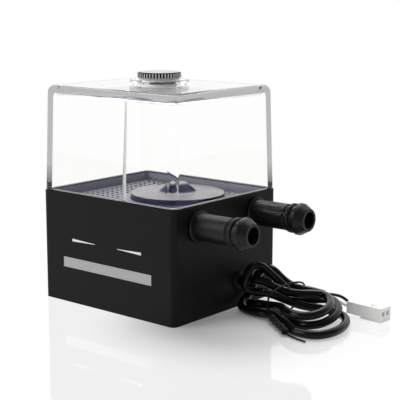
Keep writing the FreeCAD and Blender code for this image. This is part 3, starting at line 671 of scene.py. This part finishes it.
tank_rings += [
    tank_ring(tank_wall, inner_corner, roof_under - inner_flat, rib_depth),
    tank_ring(tank_wall, inner_corner, tank_low.z, rib_depth),
]
tank = ring_skin("tank_dressed", tank_rings, clear_plastic)
rib_frost = plain_finish("rib_frost", (0.85, 0.85, 0.86), 0.6, Transmission_Weight=0.3, IOR=clear_ior)
tank.data.materials.append(rib_frost)
rib_outer = tank_low.y + tank_wall
rib_inner = rib_outer + tank_lean + rib_depth
for face in tank.data.polygons:
    beside = face.center.x - rib_place - rib_slant / 2
    if abs(beside) < rib_foot_width / 2 and rib_outer < face.center.y < rib_inner:
        face.material_index = 1
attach(tank, "pump")
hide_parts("tank")
finish_node("tank_seal", rubber_black)


# Filler plug: a knurled screw plug in nickel-plated brass that seals on a soft ring.
# The knurl is straight, cut round the head's edge, with painted shade on the head between its teeth;
# the shank below is threaded, and painted near white as painted light, from a little under the ring to its
# end.
nickel = grained_finish(
    "nickel", (0.45, 0.445, 0.44), 0.18, grain=1200.0, vary=0.08, depth=0.08, Metallic=1.0,
)
# Painted light: the threaded shank is painted near white.
thread_painted_light = grained_finish(
    "thread_painted_light", (0.95, 0.95, 0.94), 0.7, grain=1200.0, vary=0.05, Metallic=0.2,
)
# Painted shade: the head between the knurl's teeth is near black.
groove_painted_shade = grained_finish("groove_painted_shade", (0.008, 0.008, 0.008), 0.5, Metallic=1.0)
cap_low, cap_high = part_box("filler_cap")
seal_low, seal_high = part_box("filler_cap_seal")
knurl_depth = 0.45 * mm
thread_neck = 1.6 * mm
cap_sizes = {
    "Head radius": cap_high.x - knurl_depth,
    "Head height": cap_high.z - seal_high.z,
    "Head level": seal_high.z,
    "Head sides": 96,
    "Teeth": 44,
    "Tooth depth": knurl_depth * 2,
    "Tooth width": 0.52 * mm,
    "Bevel": 0.3 * mm,
    "Shank radius": 6.52 * mm,
    "Shank length": seal_high.z - cap_low.z,
    "Shank sides": 48,
    "Shank rows": 40,
    "Thread level": seal_low.z - thread_neck,
    "Thread pitch": 1.337 * mm,
    "Thread depth": 0.4 * mm,
    "Finish": nickel,
    "Groove": groove_painted_shade,
    "Thread": thread_painted_light,
}
knurl_tree = node_tree("plug_knurl", cap_sizes)
given = knurl_tree.nodes["Group Input"].outputs
head = tree_node(
    knurl_tree, "GeometryNodeMeshCylinder", {"fill_type": "NGON"},
    Vertices=given["Head sides"], Radius=given["Head radius"], Depth=given["Head height"],
)
rim = tree_node(
    knurl_tree, "GeometryNodeMeshCircle", Vertices=given["Teeth"], Radius=given["Head radius"],
)
tooth_height = worked_out(knurl_tree, "SUBTRACT", given["Head height"], given["Bevel"])
tooth_size = tree_node(
    knurl_tree, "ShaderNodeCombineXYZ",
    X=given["Tooth depth"], Y=given["Tooth width"], Z=tooth_height,
)
tooth = tree_node(knurl_tree, "GeometryNodeMeshCube", Size=tooth_size.outputs[0])
place = tree_node(knurl_tree, "GeometryNodeInputPosition")
facing = tree_node(
    knurl_tree, "FunctionNodeAlignEulerToVector", {"axis": "X", "pivot_axis": "Z"},
    Vector=place.outputs["Position"],
)
teeth = tree_node(
    knurl_tree, "GeometryNodeInstanceOnPoints",
    Points=rim.outputs["Mesh"], Instance=tooth.outputs["Mesh"], Rotation=facing.outputs["Rotation"],
)
bevel_drop = worked_out(knurl_tree, "MULTIPLY", given["Bevel"], -0.5)
lowered_teeth = raised(knurl_tree, teeth.outputs["Instances"], bevel_drop)
shank = tree_node(
    knurl_tree, "GeometryNodeMeshCylinder", {"fill_type": "NGON"},
    Vertices=given["Shank sides"], Side_Segments=given["Shank rows"],
    Radius=given["Shank radius"], Depth=given["Shank length"],
)
spot = tree_node(knurl_tree, "ShaderNodeSeparateXYZ", Vector=place.outputs["Position"]).outputs
round_angle = worked_out(knurl_tree, "ARCTAN2", spot["Y"], spot["X"])
round_share = worked_out(knurl_tree, "DIVIDE", round_angle, 2 * math.pi)
turns_up = worked_out(knurl_tree, "DIVIDE", spot["Z"], given["Thread pitch"])
helix = worked_out(knurl_tree, "SUBTRACT", turns_up, round_share)
flank = worked_out(knurl_tree, "PINGPONG", helix, 0.5)
sunk = worked_out(knurl_tree, "MULTIPLY", flank, given["Thread depth"])
inward_step = worked_out(knurl_tree, "MULTIPLY", sunk, -2.0)
flat_spot = tree_node(knurl_tree, "ShaderNodeCombineXYZ", X=spot["X"], Y=spot["Y"])
outward = tree_node(
    knurl_tree, "ShaderNodeVectorMath", {"operation": "NORMALIZE"}, Vector=flat_spot.outputs[0],
)
inward = tree_node(
    knurl_tree, "ShaderNodeVectorMath", {"operation": "SCALE"},
    Vector=outward.outputs["Vector"], Scale=inward_step,
)
threaded = tree_node(
    knurl_tree, "GeometryNodeSetPosition",
    Geometry=shank.outputs["Mesh"], Offset=inward.outputs["Vector"],
)
shank_sum = worked_out(knurl_tree, "ADD", given["Shank length"], given["Head height"])
shank_drop = worked_out(knurl_tree, "MULTIPLY", shank_sum, -0.5)
hung_shank = raised(knurl_tree, threaded.outputs["Geometry"], shank_drop)
whole_plug = tree_node(knurl_tree, "GeometryNodeJoinGeometry")
for part in (head.outputs["Mesh"], lowered_teeth, hung_shank):
    knurl_tree.links.new(part, whole_plug.inputs[0])
head_middle = worked_out(knurl_tree, "MULTIPLY_ADD", given["Head height"], 0.5, given["Head level"])
seated = raised(knurl_tree, whole_plug.outputs[0], head_middle)
plug_skin = tree_node(knurl_tree, "GeometryNodeRealizeInstances", Geometry=seated)
below_neck = worked_out(knurl_tree, "LESS_THAN", spot["Z"], given["Thread level"])
for finish, where in (("Finish", True), ("Groove", head.outputs["Side"]), ("Thread", below_neck)):
    plug_skin = tree_node(
        knurl_tree, "GeometryNodeSetMaterial",
        Geometry=plug_skin.outputs["Geometry"], Selection=where, Material=given[finish],
    )
knurl_tree.links.new(plug_skin.outputs["Geometry"], knurl_tree.nodes["Group Output"].inputs["Geometry"])
filler_cap = grown_piece("filler_cap_dressed", knurl_tree, cap_sizes)
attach(filler_cap, "cap")
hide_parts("filler_cap")
finish_node("filler_cap_seal", grained_finish("seal_silicone", (0.5, 0.5, 0.5), 0.35, vary=0.04))


# Grommet and cable: a soft bush holds the sheathed cable where it leaves the wall.
# The cable is wound into a flat hank that leans on the pump, its turns stacked from the floor up.
finish_node("cable_grommet", rubber_black)
sheath_black = grained_finish(
    "sheath_black", (0.003, 0.003, 0.003), 0.2, grain=1500.0, depth=0.1, Specular_IOR_Level=0.22,
)
cable_radius = 1.5 * mm
lead_in = [
    (27.0, 6.5, 9.7), (34.5, 6.6, 9.8), (38.6, 7.6, 10.8), (41.8, 8.6, 10.7), (45.2, 9.8, 9.1),
    (50.1, 10.6, 7.9), (54.6, 11.6, 7.6), (58.6, 14.8, 7.7),
]
right_bends = [
    {"middle": (63.2, 6.0), "half": 11.2, "round": 8.0, "levels": (7.7, 5.8), "turn": 1},
    {"middle": (63.6, 8.6), "half": 12.4, "round": 9.0, "levels": (5.4, 2.3), "turn": -1},
    {"middle": (69.2, 4.2), "half": 13.8, "round": 9.0, "levels": (1.7, 1.6), "turn": 1},
]
left_folds = [
    [
        (63.4, -4.9, 5.8), (59.2, -2.2, 5.7), (55.2, 1.0, 5.3), (50.6, 3.8, 4.3), (46.0, 4.4, 3.6),
        (42.4, 3.7, 3.4), (39.9, 3.8, 3.1), (38.3, 5.1, 2.7), (37.9, 7.0, 2.3), (38.7, 8.8, 1.9),
        (40.8, 9.8, 1.7), (45.2, 9.4, 1.7), (50.6, 7.6, 1.7), (56.6, 3.6, 1.7), (63.0, -1.6, 1.7),
    ],
    [
        (58.6, 17.4, 5.1), (54.2, 14.8, 4.9), (50.4, 14.0, 6.2), (47.2, 13.8, 8.6), (44.2, 12.6, 11.4),
        (42.2, 10.6, 14.0), (41.0, 9.0, 15.8), (39.9, 7.4, 16.5), (38.9, 5.8, 16.2), (38.3, 4.6, 14.7),
        (38.0, 3.7, 12.8), (37.8, 3.3, 11.2), (37.8, 3.1, 9.8), (38.3, 3.3, 8.6), (39.4, 3.8, 7.8),
        (41.2, 4.4, 7.5), (43.6, 4.9, 7.7), (46.6, 5.7, 7.7), (50.4, 8.0, 6.1), (56.0, 12.2, 3.3),
        (62.0, 16.6, 2.6),
    ],
    [
        (67.4, -9.2, 1.6), (61.4, -5.0, 1.6), (54.8, -0.8, 1.8), (50.4, 0.6, 2.0), (46.4, 0.2, 1.7),
        (41.6, 0.4, 1.6), (37.2, 1.6, 1.6), (34.8, 5.0, 1.9), (34.2, 9.6, 4.0), (34.4, 12.8, 8.0),
        (35.2, 14.6, 11.6), (37.6, 15.8, 13.8), (40.8, 16.2, 13.2), (43.9, 16.8, 10.4), (47.0, 17.4, 8.5),
        (51.2, 18.2, 7.4), (55.2, 20.6, 6.9), (58.8, 22.2, 5.9),
    ],
]
bend_lean = 3.0
bend_angles = (75, 45, 15, -15, -45, -75)
cord_steps = 8
cord_sides = 5


def bend_points(bend):
    """One of the hank's right-hand bends: half an oval that leans to the right at its near side."""
    middle_x, middle_y = bend["middle"]
    far_level, near_level = bend["levels"]
    points = []
    for degrees in bend_angles:
        angle = math.radians(degrees) * bend["turn"]
        share = (1 + math.sin(angle)) / 2
        x = middle_x + bend["round"] * math.cos(angle) - bend_lean * math.sin(angle)
        y = middle_y + bend["half"] * math.sin(angle)
        points.append((x, y, near_level + (far_level - near_level) * share))
    return points


def hank_route():
    """The cable's points: in from the grommet, then a bend and a fold for each turn."""
    points = list(lead_in)
    for bend, fold in zip(right_bends, left_folds):
        points += bend_points(bend) + fold
    return [Vector(p) * mm for p in points]


def cord_curve(name, points, radius, material):
    """A round cord along the smooth NURBS line that its points guide."""
    curve = bpy.data.curves.new(name, "CURVE")
    curve.dimensions = "3D"
    spline = curve.splines.new("NURBS")
    spline.points.add(len(points) - 1)
    for place, target in zip(points, spline.points):
        target.co = (*place, 1.0)
    spline.order_u = 3
    spline.use_endpoint_u = True
    spline.resolution_u = cord_steps
    curve.bevel_depth = radius
    curve.bevel_resolution = cord_sides
    curve.use_fill_caps = True
    curve.materials.append(material)
    cord = bpy.data.objects.new(name, curve)
    bpy.context.scene.collection.objects.link(cord)
    return cord


cable = cord_curve("cable", hank_route(), cable_radius, sheath_black)
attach(cable, "pump")
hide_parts("cable_lead", "cable_hank")


# Twist tie: a plastic-covered wire bent round the middle of the hank,
# its two ends twisted together and laid on the floor.
tie_black = grained_finish("tie_black", (0.004, 0.004, 0.004), 0.4, grain=2000.0, Specular_IOR_Level=0.18)
tie_radius = 0.34 * mm
tie_loop = [
    (51.2, -0.6, 2.6), (50.8, -0.5, 1.0), (50.8, 1.8, 0.5), (50.9, 6.0, 0.5), (51.2, 12.0, 0.9),
    (51.5, 17.6, 3.6), (51.6, 20.8, 6.8), (51.3, 20.0, 9.6), (50.8, 15.0, 10.6), (50.5, 9.0, 10.6),
    (50.5, 3.0, 9.9), (50.5, -0.2, 8.4), (50.5, -0.8, 5.0), (51.4, -0.8, 2.0),
]
tie = cord_curve("twist_tie_loop", [Vector(p) * mm for p in tie_loop], tie_radius, tie_black)
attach(tie, "pump")
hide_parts("twist_tie")

twist_start = Vector((52.2, -1.4, 1.9)) * mm
twist_end = Vector((65.8, -11.2, 1.5)) * mm
twist_turns = 2.5
twist_radius = 0.7 * mm
ribbon_radius = 0.74 * mm
twist_steps = 8


def twisted_end(name, phase):
    """One of the tie's two ends, wound round the other."""
    along = twist_end - twist_start
    side = along.cross(Vector((0, 0, 1))).normalized()
    upright = side.cross(along).normalized()
    count = int(twist_turns * twist_steps)
    points = []
    for k in range(count + 1):
        angle = 2 * math.pi * k / twist_steps + phase
        offset = side * math.cos(angle) + upright * math.sin(angle)
        points.append(twist_start + along * (k / count) + offset * twist_radius)
    strand = cord_curve(name, points, ribbon_radius, tie_black)
    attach(strand, "pump")
    return strand


tie_end_long = twisted_end("twist_tie_end_long", 0.0)
tie_end_short = twisted_end("twist_tie_end_short", math.pi)
tail_route = [(62.6, -9.4, 1.0), (66.8, -11.2, 0.6), (70.6, -12.4, 0.5), (75.0, -13.2, 0.5)]
tie_tail = cord_curve("twist_tie_tail", [Vector(p) * mm for p in tail_route], tie_radius, tie_black)
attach(tie_tail, "pump")


# Leads and connector: two stranded leads leave the sheath and end in a white
# two-way housing, moulded in nylon, with a latch on its top and a contact in each way.
lead_radius = 0.55 * mm
connector_along = Vector((0.99813, -0.06105, 0.0))
far_entry = Vector((68.30, 26.85, 2.9))
near_entry = Vector((68.15, 24.31, 2.9))
entry_run = 1.4
entry_depth = 2.4
black_start = [(57.8, 22.4, 6.0), (60.8, 24.2, 6.0), (64.0, 26.2, 5.2)]
white_start = [(57.8, 21.4, 5.4), (60.6, 22.4, 5.0), (63.6, 23.8, 4.2)]


def lead_route(start, entry):
    """A lead's points, from the sheath to its way in the connector."""
    points = [Vector(p) for p in start]
    points += [entry - connector_along * entry_run, entry, entry + connector_along * entry_depth]
    return [p * mm for p in points]


black_cover = grained_finish("lead_black", (0.008, 0.008, 0.008), 0.35, grain=2000.0)
white_cover = grained_finish("lead_white", (0.8, 0.8, 0.78), 0.4, grain=2000.0, vary=0.04)
lead_black = cord_curve("lead_black_dressed", lead_route(black_start, far_entry), lead_radius, black_cover)
lead_white = cord_curve("lead_white_dressed", lead_route(white_start, near_entry), lead_radius, white_cover)
for lead, node in ((lead_black, "lead_black"), (lead_white, "lead_white")):
    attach(lead, "pump")
    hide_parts(node)
connector_white = grained_finish("connector_white", (0.94, 0.94, 0.93), 0.4, grain=1200.0, vary=0.03)
finish_node("connector_housing", connector_white)
finish_node("connector_contacts", grained_finish("contact_tin", (0.6, 0.58, 0.5), 0.35, Metallic=1.0))


# Stage: a pale floor with a faint mirror sheen, which fades to white away from the cable.
# A soft lamp hangs above at the back left, and a weaker one stands at the front left.
# The studio round them is white, and darker on the right for what mirrors it.
plain_white = (1.0, 1.0, 1.0, 1.0)
backdrop_white = 1.0
floor_half = 6.0
floor_drop = 0.05 * mm
shade_middle = (0.048, -0.015, 0.0)
fade_start = 0.012
fade_end = 0.055
shade_least = 0.03
mirror_share = 0.13
mirror_blur = 0.05
floor_white = plain_finish("floor_white", (0.8, 0.8, 0.8), 0.35, Specular_IOR_Level=0.25)


def seen_directly(tree):
    """A value of 1 for what the lens, a mirror or clear plastic shows, and 0 for plain light."""
    ray = tree_node(tree, "ShaderNodeLightPath").outputs
    lens = worked_out(tree, "MAXIMUM", ray["Is Camera Ray"], ray["Is Glossy Ray"])
    return worked_out(tree, "MAXIMUM", lens, ray["Is Transmission Ray"])


floor_tree = floor_white.node_tree
floor_place = tree_node(floor_tree, "ShaderNodeTexCoord")
floor_reach = worked_out(
    floor_tree, "DISTANCE", floor_place.outputs["Object"], shade_middle, kind="VectorMath",
)
floor_fade = tree_node(
    floor_tree, "ShaderNodeMapRange", {"interpolation_type": "SMOOTHSTEP"},
    Value=floor_reach, From_Min=fade_start, From_Max=fade_end, To_Min=shade_least,
)
fade_seen = worked_out(floor_tree, "MULTIPLY", floor_fade.outputs["Result"], seen_directly(floor_tree))
floor_lit = floor_tree.nodes["Principled BSDF"].outputs[0]
floor_glow = tree_node(floor_tree, "ShaderNodeEmission", Strength=backdrop_white)
floor_mix = shader_mix(floor_tree, fade_seen, floor_lit, floor_glow.outputs[0])
floor_mirror = tree_node(floor_tree, "ShaderNodeBsdfGlossy", Color=plain_white, Roughness=mirror_blur)
floor_sheen = shader_mix(floor_tree, mirror_share, floor_mix, floor_mirror.outputs[0])
floor_tree.links.new(floor_sheen, floor_tree.nodes["Material Output"].inputs["Surface"])
floor_corners = [
    (-floor_half, -floor_half, 0.0), (floor_half, -floor_half, 0.0),
    (floor_half, floor_half, 0.0), (-floor_half, floor_half, 0.0),
]
floor_mesh = bpy.data.meshes.new("floor")
floor_mesh.from_pydata(floor_corners, [], [(0, 1, 2, 3)])
floor_mesh.materials.append(floor_white)
floor = bpy.data.objects.new("floor", floor_mesh)
floor.location.z = -floor_drop
bpy.context.scene.collection.objects.link(floor)

sky_strength = 0.6
pale_side = (-0.64, 0.77, 0.0)
pale_reach = 0.8
dark_side = 0.2
world = bpy.data.worlds.new("studio")
bpy.context.scene.world = world
world.use_nodes = True
sky = world.node_tree
sky_light = sky.nodes["Background"]
sky_light.inputs["Color"].default_value = plain_white
sky_light.inputs["Strength"].default_value = sky_strength
sky_seen = tree_node(sky, "ShaderNodeBackground", Color=plain_white, Strength=backdrop_white)
sky_place = tree_node(sky, "ShaderNodeTexCoord")
sky_side = worked_out(sky, "DOT_PRODUCT", sky_place.outputs["Generated"], pale_side, kind="VectorMath")
sky_shade = tree_node(
    sky, "ShaderNodeMapRange", Value=sky_side,
    From_Max=pale_reach, To_Min=dark_side, To_Max=backdrop_white,
)
sky_mirror = tree_node(sky, "ShaderNodeBackground", Color=plain_white, Strength=sky_shade.outputs["Result"])
sky_ray = tree_node(sky, "ShaderNodeLightPath")
sky_choice = shader_mix(sky, seen_directly(sky), sky_light.outputs[0], sky_seen.outputs[0])
sky_final = shader_mix(sky, sky_ray.outputs["Is Glossy Ray"], sky_choice, sky_mirror.outputs[0])
sky.links.new(sky_final, sky.nodes["World Output"].inputs["Surface"])


def soft_lamp(name, place, target, size, power):
    """A square lamp that faces a point."""
    light = bpy.data.lights.new(name, "AREA")
    light.size = size
    light.energy = power
    lamp = bpy.data.objects.new(name, light)
    lamp.location = place
    aim = Vector(target) - Vector(place)
    lamp.rotation_euler = aim.to_track_quat("-Z", "Y").to_euler()
    bpy.context.scene.collection.objects.link(lamp)


soft_lamp("lamp_above", place=(-0.2, 0.25, 0.6), target=(0.02, 0.0, 0.03), size=0.5, power=3.0)
soft_lamp("lamp_left", place=(-0.35, -0.5, 0.35), target=(0.0, 0.0, 0.03), size=0.4, power=1.6)

photo_width = 400
focal_pixels = 1122.0
camera_place = (0.27312, -0.30406, 0.11494)
camera_turn = (79.10, -0.1, 39.87)
camera_near = 0.01
camera_far = 50.0
camera_data = bpy.data.cameras.new("camera")
camera_data.sensor_width = 36.0
camera_data.lens = focal_pixels * camera_data.sensor_width / photo_width
camera_data.clip_start = camera_near
camera_data.clip_end = camera_far
camera = bpy.data.objects.new("camera", camera_data)
camera.location = camera_place
camera.rotation_euler = [math.radians(angle) for angle in camera_turn]
bpy.context.scene.collection.objects.link(camera)
bpy.context.scene.camera = camera
bpy.context.scene.view_settings.view_transform = "Standard"
